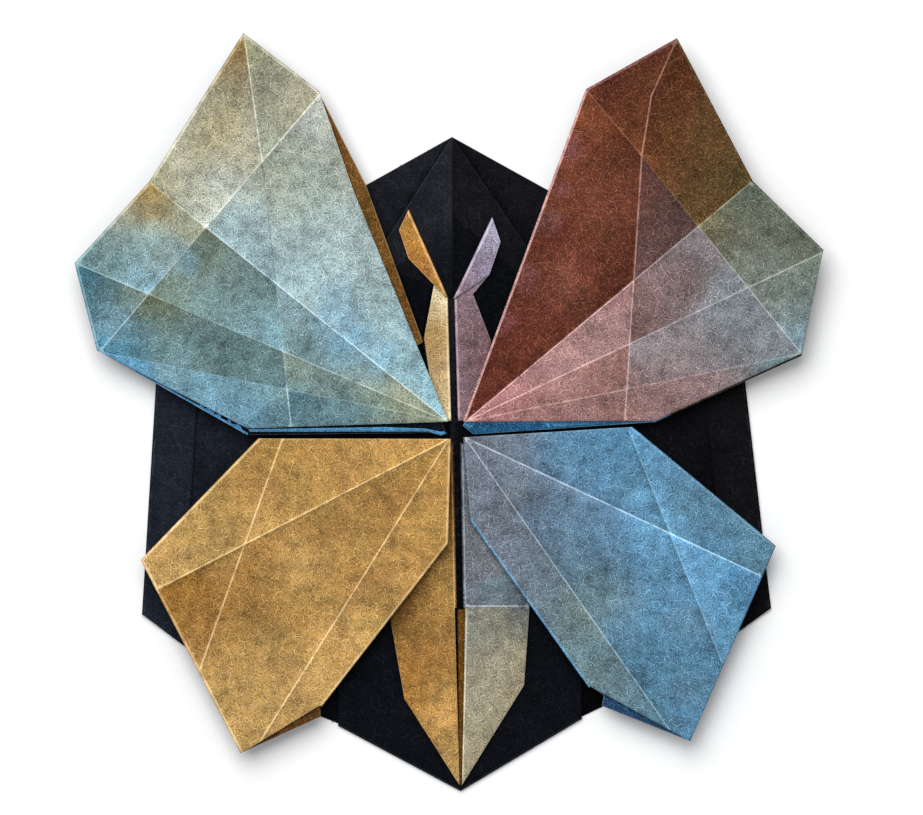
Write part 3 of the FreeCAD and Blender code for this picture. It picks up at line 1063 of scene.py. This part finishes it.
def add_antenna(side, leaf, strip, leaf_tints, strip_tints, seed):
    low, high = slit_side(side, 1.9, slit_top.y)
    outline, folded = [low, high] + leaf + strip, [high] + leaf
    index, leaf_index = 0, 0
    leaf_tints, strip_tints = leaf_tints.split(), strip_tints.split()
    if side > 0:
        outline, folded = outline[::-1], folded[::-1]
        strip_tints, leaf_tints = strip_tints[::-1], leaf_tints[::-1]
        index, leaf_index = len(outline) - 2, len(folded) - 2
    sheet = Sheet()
    facet = (level(outline, tail_level), strip_tints)
    points = sheet.panel(outline, [facet], rims=[0.8] * len(outline), seed=seed)
    sheet.roll(points, outline, [index], index, front_level, strip_tints[0])
    facet = (level(folded, leaf_level), leaf_tints)
    leaf_points = sheet.panel(folded, [facet], rims=[1.0] * len(folded), seed=seed + 1)
    sheet.roll(leaf_points, folded, [leaf_index], leaf_index, tail_level, leaf_tints[0])
    return sheet


left_leaf = [at(-9.7, 43.6), at(-11.4, 40.0), at(-9.5, 34.3)]
left_strip = [at(-4.4, 29.1), at(-6.4, 18.4), at(-4.0, 2.4)]
right_leaf = [at(7.4, 42.0), at(8.9, 37.6), at(6.7, 31.1)]
right_strip = [at(3.4, 27.2), at(7.0, 17.8), at(4.6, 2.0)]
left_antenna = add_antenna(
    -1, left_leaf, left_strip, "amber saffron saffron saffron",
    "wheat wheat amber amber amber wheat gold ochre", 9.0,
)
right_antenna = add_antenna(
    1, right_leaf, right_strip, "mauve lilac lilac thistle",
    "mauve mauve lilac lilac lilac mauve rosewood mauve", 11.0,
)
print("antennae:", len(left_antenna.mesh.faces) + len(right_antenna.mesh.faces), "faces")

# %% [markdown]
# ## Wings
#
# A wing is drawn from its own root, as reach and bearing, the way one would measure it
# with a ruler and a protractor. It is two plies, rolled into each other along some of its
# sides. When both lie flat, the whole wing is tilted, so that it rises outwards from its
# root, and it is set down on the three plies that lie below it there.

# %% Wing builder
forewing_lift, hindwing_lift = 3.0, 2.4
wing_front = pitch + middle
crossing_rise = 0.4


def on_plane(place, facet):
    return at(place.x, place.y, plane_height(facet, place))


class Wing(Sheet):
    """A flap of two plies. It is drawn flat, with its root at the origin."""

    def __init__(self, root, plan, runs):
        """The plan has rows of 'corner reach bearing', and the runs name the rolled sides."""
        super().__init__()
        self.root = root
        drawn = {name: around(reach, bearing) for name, reach, bearing in rows_of(plan)}
        names = list(drawn)
        self.rolled = [names.index(start) for run in rows_of(runs) for start in run[:-1]]
        self.corners = level(drawn_in(list(drawn.values()), self.rolled, fold_radius), wing_front)
        self.spots = dict(zip(names, self.corners))

    def mark(self, plan):
        """More spots on the front, from rows of 'name reach bearing'."""
        for name, reach, bearing in rows_of(plan):
            self.spots[name] = around(reach, bearing, wing_front)

    def cross(self, crossing_plan, foot_plan):
        """Where the creases of a forewing cross. The main crossing stands out of the plane."""
        corner, heel, root, tip, notch, point, shoulder = [
            self.spots[name] for name in ("corner", "heel", "root", "tip", "notch", "point", "shoulder")
        ]
        upper = around(*crossing_plan, wing_front + crossing_rise)
        foot = on_plane(meeting(heel, root, upper, around(*foot_plan)), [heel, root, corner])
        outer = on_plane(meeting(upper, corner, notch, root), [tip, notch, upper])
        inner = on_plane(meeting(upper, foot, notch, root), [shoulder, root, upper])
        lower = on_plane(meeting(upper, corner, point, root), [notch, point, outer])
        mid = on_plane(meeting(upper, foot, point, root), [outer, inner, lower])
        last = on_plane(meeting(upper, foot, corner, root), [corner, lower, mid])
        self.spots.update(upper=upper, foot=foot, outer=outer, inner=inner)
        self.spots.update(lower=lower, mid=mid, last=last)

    def front(self, facets, creases, clouds, rims, rolls, seed):
        """The upper ply and its rolls. A roll is a tint and how worn it is, which is also the
        strength of the painted highlight along it.
        """
        facets, creases = facets_from(self.spots, facets), creases_from(self.spots, creases)
        clouds = clouds_from(self.root, clouds)
        points = self.panel(self.corners, facets, creases, clouds, rims, wave=0.16, seed=seed)
        self.rows = []
        for index, (tint, worn_and_lit) in zip(self.rolled, rows_of(rolls)):
            self.rows.append(self.roll(points, self.corners, self.rolled, index, middle, tint, worn_and_lit))

    def back(self, outline, tint, seed, bands=()):
        """The lower ply. Its corners are spots, or 'reach:bearing', and bands lie on its tint."""
        outline = [
            self.spots[word] if word in self.spots else around(*map(float, word.split(":")))
            for word in outline.split()
        ]
        facets = [band(self.root, plan) for plan in bands]
        facets.append((level(outline, middle), [tint] * len(outline)))
        self.panel(outline, facets, rims=[1.0] * len(outline), seed=seed, rows=self.rows)

    def seat(self, bearing, lift):
        """Tilt the flat wing so that it rises along its bearing, and set its root on the base."""
        tilt = Matrix.Rotation(math.radians(lift), 4, around(1.0, bearing - 90))
        self.mesh.transform(Matrix.Translation(at(self.root.x, self.root.y, wing_seat)) @ tilt)
        add_strut(self.root, bearing, lift)
        print("a wing with", len(self.mesh.faces), "faces before it has a thickness")


# %% Left forewing
left_forewing = Wing(at(-1.6, 1.7), """
    shoulder 71 111.4, tip 87.8 117.8, notch 76.6 141.3, point 81.1 157, corner 71.6 168.5,
    heel 40.1 181.9, root 0 0, side 50.7 112.3""", "shoulder tip notch point corner")
left_forewing.cross((63.9, 125.6), (31.4, 182.0))
left_forewing.front("""
    tip:umber upper:sand outer:bone notch:khaki, tip:oat shoulder:flax upper:sage,
    shoulder:pearl root:aqua inner:mist upper:sage, upper:sage inner:haze outer:mist,
    notch:straw outer:hay lower:brook point:tarn, outer:moss inner:teal mid:brook lower:willow,
    inner:haze root:fern mid:lake, point:abyss lower:willow corner:cornflower,
    corner:petrol lower:olive mid:teal last:slate, mid:celadon root:fern last:sea,
    corner:steel last:lake heel:harbour, heel:harbour last:lake foot:slate,
    last:slate root:fern foot:slate""", """
    tip upper 0.05 0.8 0.05, upper inner -0.04 -0.35 -0.06, inner mid 0.02 0.3 0.05,
    mid last 0.04 0.5 0.05, last foot 0.05 0.9 0.06, shoulder upper 0.06 0.9 -0.12,
    upper outer 0.05 0.7 -0.1, outer lower 0.04 0.5 -0.1, lower corner 0.05 0.8 -0.1,
    notch outer 0.04 0.6 -0.06, outer inner 0.05 0.8 0.12, inner root 0.05 0.8 0.1,
    point lower 0.04 0.7 0.1, lower mid 0.04 0.5 0.1, mid root 0.05 0.7 0.1,
    corner last 0.03 0.4 -0.08, last root 0.03 0.5 -0.05""", """
    dun -36.2 70 9 0.5, mist -23.2 27 8 0.6, sky -23 26 6 0.4, sky -22 19.5 8 0.7,
    sky -15.2 14 6 0.6, hay -9.8 4.8 5 0.6, lake -25.2 6 6 0.5, dun -22.2 52 10 0.5,
    hay -52 44 9 0.5, foam -60.5 36.5 6 0.9, lake -55 14 9 0.6, lake -51 26 8 0.6,
    pearl -45 50 8 0.9, barley -47 60 8 0.5, celadon -31 50 9 0.5, brook -69 21 6 0.8,
    aqua -55.2 14 6 0.5, barley -61.5 41.5 6.5 0.6, brook -61 33 5 0.5, brook -55 34.5 4 0.6,
    foam -60 33.5 4.5 0.6, tarn -67 31.5 3.5 0.4, brook -23.6 4.3 5 0.3""",
    [0.8, 0.9, 0.9, 0.9, 0.8, 0.8, 0.6, 0.9], "cobalt 0.9, cobalt 0.9, cobalt 0.9, cobalt 0.9", 13.0)
# In the strip of the lower ply that shows beside the upper ply, coffee under the upper ply's edge is painted
# shadow of that ply; bronze at the outer edge is the dye.
strip = """coffee -27.3 69.5, bronze -16.5 49, bronze -5 17.7, bronze -8.2 16.2, coffee -13 17,
    coffee -33 64"""
sliver = "cyan -27 -0.85, cyan -5.2 -0.5, cyan -1.5 -0.4, cyan -1.5 -1.8, cyan -27 -1.8"
outer_band = "cobalt -71.8 15.8, cyan -41.7 -1.2, cyan -41 -0.5, cobalt -71.5 16.4"
left_forewing.back(
    "shoulder tip notch point corner 40.2:183.8 2.3:260 16.3:113.9 16.7:107.5 50.1:109.2",
    "midnight", 14.0, [strip, sliver, outer_band],
)
lining_level = middle + paper + 0.02
lining = band(left_forewing.root, """cyan -41.6 0.2, cyan -41.2 -0.3, cyan -5.6 -0.3, cyan -3 -1.1,
    cyan -1.8 -0.6, cyan -6.2 0.3, cyan -14.2 0.6""", lining_level)
left_forewing.patch(*lining, 0.7, 15.0)
left_forewing.seat(145.0, forewing_lift)

# %% Right forewing
right_forewing = Wing(at(1.4, 1.7), """
    root 0 0, heel 38.4 0.3, corner 69 11.4, point 79.8 25.5, notch 75.3 39.7, tip 87.8 60.8,
    shoulder 70.8 69.7""", "point notch tip shoulder root")
right_forewing.cross((64.0, 56.0), (32.4, 0.3))
right_forewing.mark("bend 75.2 59.9, nick_start 85.6 58.8, nick_end 82.5 60.1")
tilted = [right_forewing.spots[name] for name in ("tip", "shoulder", "upper")]
right_forewing.spots["bend"] = on_plane(right_forewing.spots["bend"], tilted)
# Along the side from shoulder to root, the rosewood clouds and the petal roll are partly pink dye and partly
# a painted highlight on that fold.
right_forewing.front("""
    tip:walnut upper:russet outer:cocoa notch:peat, tip:bark upper:russet bend:bark,
    tip:bark shoulder:bark upper:russet, shoulder:rust root:mulberry inner:bark upper:bark,
    upper:mole inner:clay outer:plum, notch:reed outer:lichen lower:pewter point:reed,
    outer:dove inner:ash mid:clay lower:frost, inner:blush root:salmon mid:ash,
    point:moss lower:pewter corner:sleet, corner:frost lower:frost mid:dove last:ash,
    mid:rose root:salmon last:rose, corner:storm last:ash heel:ash, heel:ash last:ash foot:rose,
    last:ash root:salmon foot:rose""", """
    tip bend 0.05 0.85 -0.1, bend upper 0.06 1 -0.1, nick_start nick_end 0.03 0.4 0,
    upper inner 0.06 1 0.1, inner mid 0.05 0.8 0.05, mid last 0.05 0.8 0.05,
    last foot 0.05 0.8 0.05, shoulder upper 0.04 0.5 0.2, upper outer 0.03 0.4 0.12,
    outer lower 0.04 0.6 -0.1, lower corner 0.04 0.7 -0.05, notch outer 0.06 0.8 0.1,
    outer inner 0.05 0.8 -0.1, inner root 0.06 1 0.1, point lower 0.05 0.8 -0.06,
    lower mid 0.05 0.7 -0.06, mid root 0.05 0.8 0.08, corner last 0.03 0.5 0.06,
    last root 0.03 0.6 0.08""", """
    brick 30 45 14 0.35, brick 21 30 9 0.6, cocoa 52 62 9 0.3, walnut 43 66 6 0.4,
    frost 56 24 9 0.4, lichen 66 34 8 0.4, storm 65.4 33 6 0.3, rosewood 23 57 4.5 0.5,
    rosewood 19.5 49 4 0.4, rosewood 16.5 42 4.5 0.5, rosewood 12.5 31 4 0.5, rosewood 9 22 4 0.4,
    mole 46.8 30 7 0.5, mole 36.8 26 6 0.3, clay 26.8 20 5 0.35, blush 20.8 10 5 0.5,
    brick 20.8 30 5 0.4""",
    [0.8, 0.8, 0.8, 0.6, 0.5, 0.75, 1.0], "mulberry 0.6, cocoa 0, rosewood 0, petal 0", 17.0)
# Espresso on the lower ply, which shows as a thin strip below the upper ply, is painted shade under that
# ply.
right_forewing.back(
    "point notch tip shoulder root 0.8:-90 3.3:-51 38.4:-0.1 68.9:11", "espresso", 18.0,
    [
        "cyan 0 0.75, cobalt 45 1.5, cobalt 45 3, cyan 0 3",
        "deep_sea 0 -2, deep_sea 42 -2, deep_sea 42 1.5, deep_sea 0 0.75",
    ],
)
right_forewing.seat(35.0, forewing_lift)

# %% Left hindwing
left_hindwing = Wing(at(-1.0, -1.8), """
    root 0 0, heel 38.6 179.9, point 66.6 201.3, tip 75.6 236.2, ankle 58.3 244.4,
    elbow 20.9 268.4""", "heel point tip, ankle elbow root")
left_hindwing.mark("rib_end 65.8 207.1, crease_end 71.5 237.7, brace_start 33.7 179.8, brace_end 67.9 222.4")
left_hindwing.front("""
    root:ochre heel:gold point:honey rib_end:honey,
    root:gold rib_end:caramel tip:honey crease_end:honey,
    root:ochre crease_end:honey ankle:honey elbow:ochre""", """
    root rib_end 0.06 1 -0.2, root crease_end 0.05 0.95 -0.1, brace_start brace_end 0.05 0.95 0.06""", """
    amber -41 -36 9 0.5, amber -14 -14 8 0.5, toffee -20 -30 6 0.4, honey -48 -22 9 0.4,
    honey -42 -56 10 0.3, honey -31 -26 7 0.6, honey -25 -44 8 0.5, toffee -31 -38 6 0.5,
    ochre -41 -10 7 0.4, biscuit -25 -44 7 0.8, biscuit -31 -26 6 0.6""",
    [0.8, 1.0, 1.0, 0.9, 0.8, 0.9], "sienna 1, sienna 1, sienna 1, sienna 1", 21.0)
left_hindwing.back("root heel point tip 61.3:244.8 ankle elbow", "sienna", 22.0)
left_hindwing.seat(212.0, hindwing_lift)

# %% Right hindwing
right_hindwing = Wing(at(1.4, -1.5), """
    root 0 0, elbow 16.6 -85.1, ankle 55.1 -63.4, tip 75.8 -53.2, point 66.2 -19.1,
    heel 34 3.5""", "root elbow ankle, tip point heel")
right_hindwing.mark("rib_end 65.8 -24.9, crease_end 71.4 -54.7, brace_start 33.2 2.4, brace_end 69.1 -41.2")
# The ice roll on the side from elbow to ankle is a painted highlight on that fold.
right_hindwing.front("""
    root:flint heel:azure point:denim rib_end:denim,
    root:flint rib_end:azure tip:azure crease_end:denim,
    root:flint crease_end:denim ankle:storm elbow:flint""", """
    root rib_end 0.06 1 -0.28, root crease_end 0.05 0.75 -0.08, brace_start brace_end 0.05 0.55 0.3""", """
    ice 42 -21 9 0.7, ice 48 -28 7 0.6, moss 29 -34 12 0.55, azure 20 -4 8 0.4, denim 36 -10 10 0.4,
    drizzle 21 -26 9 0.5, denim 46 -38 7 0.4, lagoon 47 -52 8 0.7, ice 49 -34 7 0.5,
    ice 39 -14 6 0.8, azure 52 -23 6 0.5, drizzle 46.5 -51.5 7 0.4, frost 11.4 -12.5 5 0.5,
    drizzle 44.8 -38 5 0.3, ice 47.4 -20.5 5 0.25, drizzle 35.4 -42.5 5 0.3""",
    [0.6, 0.6, 0.6, 0.55, 0.65, 0.8], "cobalt 0.6, ice 0, cobalt 0.55, cobalt 0.65", 25.0)
right_hindwing.back("root elbow ankle 58.7:-61.3 60.4:-62.6 tip point heel", "ink_blue", 26.0)
right_hindwing.seat(-32.0, hindwing_lift)

# %% Paper gets its thickness
pieces = [
    finished("base_plate", [base], dark_paper),
    finished("struts", [struts], dark_paper),
    finished("tails", [tails, right_tails], dyed_paper),
    finished("antennae", [left_antenna, right_antenna], dyed_paper),
    finished("forewings", [left_forewing, right_forewing], dyed_paper),
    finished("hindwings", [left_hindwing, right_hindwing], dyed_paper),
]

# %% [markdown]
# ## Loose fibres
#
# In handmade paper the longest fibres never quite sink in, and they give each flap a faint
# nap. Thousands of small curls that follow a surface could be placed by a loop, but a
# Geometry Nodes tree does it faster and keeps every number in one place. Points are
# scattered over the faces that look up and lie well inside a panel. A ray goes up from each
# point, and a point with paper above it is dropped, so no curl is spent inside a fold.
# Each point that is left gets one of three curls, half sunk into the sheet.
#
# The points carry the dye of the paper below them, so a curl takes its colour from there,
# and a tone of its own, because some fibres took less dye and some took more.

# %% Fibre material
loose_fibre, shader = matt_material("loose_fibre", 0.1)
tree = loose_fibre.node_tree
tone = attribute(tree, "tone")
colour, place = clouded_dye(tree, 1.4, 0.03)
bleached = made(tree, "ShaderNodeGamma", {"Color": colour, "Gamma": 0.72})
soaked = mixed(0.5, colour, black)
fill(shader, {"Base Color": mixed(tone, soaked, bleached), "Roughness": plus(0.7, times(tone, 0.15))})
print("material:", loose_fibre.name)

# %% Scattered curls
curl_sweeps = (1.3, 2.3, 3.3)
curl_segments, curl_sides = 5, 3
clear_of_edges, facing_up = 0.6, 0.9
curl_inputs = [
    ("Paper", "Geometry", None), ("Per square metre", "Float", 340000.0), ("Length", "Float", 0.0018),
    ("Thickness", "Float", 0.00011), ("Seed", "Int", 7), ("Material", "Material", loose_fibre),
]
scatter, (paper_in, density, length, thickness, seed, paint), given = new_group(
    "scattered_curls", curl_inputs, [("Curls", "Geometry")], "Geometry"
)
normal = made(scatter, "GeometryNodeInputNormal")
lean = add_node(scatter, "ShaderNodeSeparateXYZ", {0: normal}).outputs[2]
inset = made(scatter, "GeometryNodeInputNamedAttribute", {"Name": "inset"}, data_type="FLOAT")
inner = maths("GREATER_THAN", times(inset, mm), times(length, clear_of_edges))
flat = times(maths("GREATER_THAN", lean, facing_up), inner)
values = {"Mesh": paper_in, "Selection": flat, "Density": density, "Seed": seed}
scattered = add_node(scatter, "GeometryNodeDistributePointsOnFaces", values).outputs
above = moved(made(scatter, "GeometryNodeInputPosition"), (0, 0, 0.0001))
ray = {"Source Position": above, "Ray Direction": (0, 0, 1), "Ray Length": 0.02}
covered = made(scatter, "GeometryNodeRaycast", {"Target Geometry": paper_in, **ray})
values = {"Geometry": scattered["Points"], "Selection": covered}
open_points = made(scatter, "GeometryNodeDeleteGeometry", values)
tone = add_node(scatter, "FunctionNodeRandomValue", {2: 0.0, 3: 1.0, "Seed": 3}).outputs[1]
values = {"Geometry": open_points, "Name": "tone", "Value": tone}
toned = made(scatter, "GeometryNodeStoreNamedAttribute", values, data_type="FLOAT", domain="POINT")
values = {"Resolution": curl_sides, "Radius": times(thickness, 0.5)}
profile = made(scatter, "GeometryNodeCurvePrimitiveCircle", values)
curls = scatter.nodes.new("GeometryNodeJoinGeometry")
for sweep in curl_sweeps:
    radius = maths("DIVIDE", length, sweep)
    values = {"Radius": radius, "Start Angle": -sweep / 2, "Sweep Angle": sweep}
    arc = made(scatter, "GeometryNodeCurveArc", {"Resolution": curl_segments + 1, **values})
    back = made(scatter, "ShaderNodeCombineXYZ", {0: times(radius, -1.0)})
    centred = made(scatter, "GeometryNodeTransform", {"Geometry": arc, "Translation": back})
    values = {"Curve": centred, "Profile Curve": profile, "Fill Caps": True}
    curl = made(scatter, "GeometryNodeCurveToMesh", values)
    fill(curls, {0: made(scatter, "GeometryNodeGeometryToInstance", {"Geometry": curl})})
values = {0: (0.0, 0.0, 0.0), 1: (0.0, 0.0, 2 * math.pi), "Seed": 1}
turn = made(scatter, "FunctionNodeRandomValue", values, data_type="FLOAT_VECTOR")
turn = made(scatter, "FunctionNodeEulerToRotation", {0: turn})
values = {"Rotation": scattered["Rotation"], "Rotate By": turn}
laid = made(scatter, "FunctionNodeRotateRotation", values, rotation_space="LOCAL")
which = add_node(scatter, "FunctionNodeRandomValue", {4: 0, 5: 2, "Seed": 2}, data_type="INT").outputs[2]
size = add_node(scatter, "FunctionNodeRandomValue", {2: 0.5, 3: 1.3, "Seed": 4}).outputs[1]
values = {
    "Points": toned, "Instance": curls.outputs[0], "Pick Instance": True, "Instance Index": which,
    "Rotation": laid, "Scale": size,
}
placed = made(scatter, "GeometryNodeInstanceOnPoints", values)
real = made(scatter, "GeometryNodeRealizeInstances", {0: placed})
fill(given, {0: made(scatter, "GeometryNodeSetMaterial", {"Geometry": real, "Material": paint})})
print("geometry tree:", scatter.name, "with", len(scatter.nodes), "nodes")

# %% Fibres on the paper
tops = bmesh.new()
for piece in pieces:
    tops.from_mesh(piece.data)
tops_mesh = mesh_of(tops, "paper_tops")
fibres_piece = in_scene("loose_fibres", tops_mesh)
curling = fibres_piece.modifiers.new("curls", "NODES")
curling.node_group = scatter
wanted = {title: value for title, kind, value in curl_inputs if value is not None}
for socket in scatter.interface.items_tree:
    if socket.in_out == "INPUT" and socket.name in wanted:
        curling[socket.identifier] = wanted[socket.name]
grown = fibres_piece.evaluated_get(bpy.context.evaluated_depsgraph_get())
fibres_mesh = bpy.data.meshes.new_from_object(grown)
fibres_piece.modifiers.remove(curling)
fibres_piece.data = fibres_mesh
bpy.data.meshes.remove(tops_mesh)
curl_faces = curl_segments * curl_sides + 2
fibre_count = len(fibres_mesh.polygons) // curl_faces
print(fibre_count, "fibres of", curl_faces, "faces each")
pieces.append(fibres_piece)

# %% [markdown]
# ## A map for the fibres
#
# A model that leaves Blender carries its colours in pictures, and each face needs a place in
# one. Blender can lay faces out by itself, but with thousands of slim faces each gets so
# little room that light and dark fibres run into each other. Here every fibre has a small
# square to itself, and its skin is unrolled there: along the fibre one way, round it the
# other way, with the two caps as small triangles at the ends.

# %% Fibre map
curl_points = (curl_segments + 1) * curl_sides
squares = math.ceil(math.sqrt(fibre_count))
unrolled = fibres_mesh.uv_layers.new(name="OFBake")


def unroll(face):
    """Along and round, from 0 to 1, for each corner of one face of a fibre."""
    rings = [number % curl_points // curl_sides for number in face.vertices]
    sides = [number % curl_sides for number in face.vertices]
    if len(rings) == curl_sides:
        bulge = -0.5 if rings[0] == 0 else 0.5
        rings = [ring + (bulge if side == 1 else 0) for ring, side in zip(rings, sides)]
    elif 0 in sides and curl_sides - 1 in sides:
        sides = [side or curl_sides for side in sides]
    wide, high = curl_segments + 2, curl_sides + 1
    return [((ring + 1) / wide, (side + 0.5) / high) for ring, side in zip(rings, sides)]


for face in fibres_mesh.polygons:
    row, column = divmod(face.index // curl_faces, squares)
    for corner, (along, round_it) in zip(face.loop_indices, unroll(face)):
        unrolled.data[corner].uv = ((column + along) / squares, (row + round_it) / squares)
print("fibre map:", squares, "squares a side")

# %% [markdown]
# ## Handing over
#
# Every piece rides on the one body that there is, and together they stand for the packed
# sheet, which is hidden.

# %% Handing over
for piece in pieces:
    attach(piece, "root")
    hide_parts("folded_sheet")
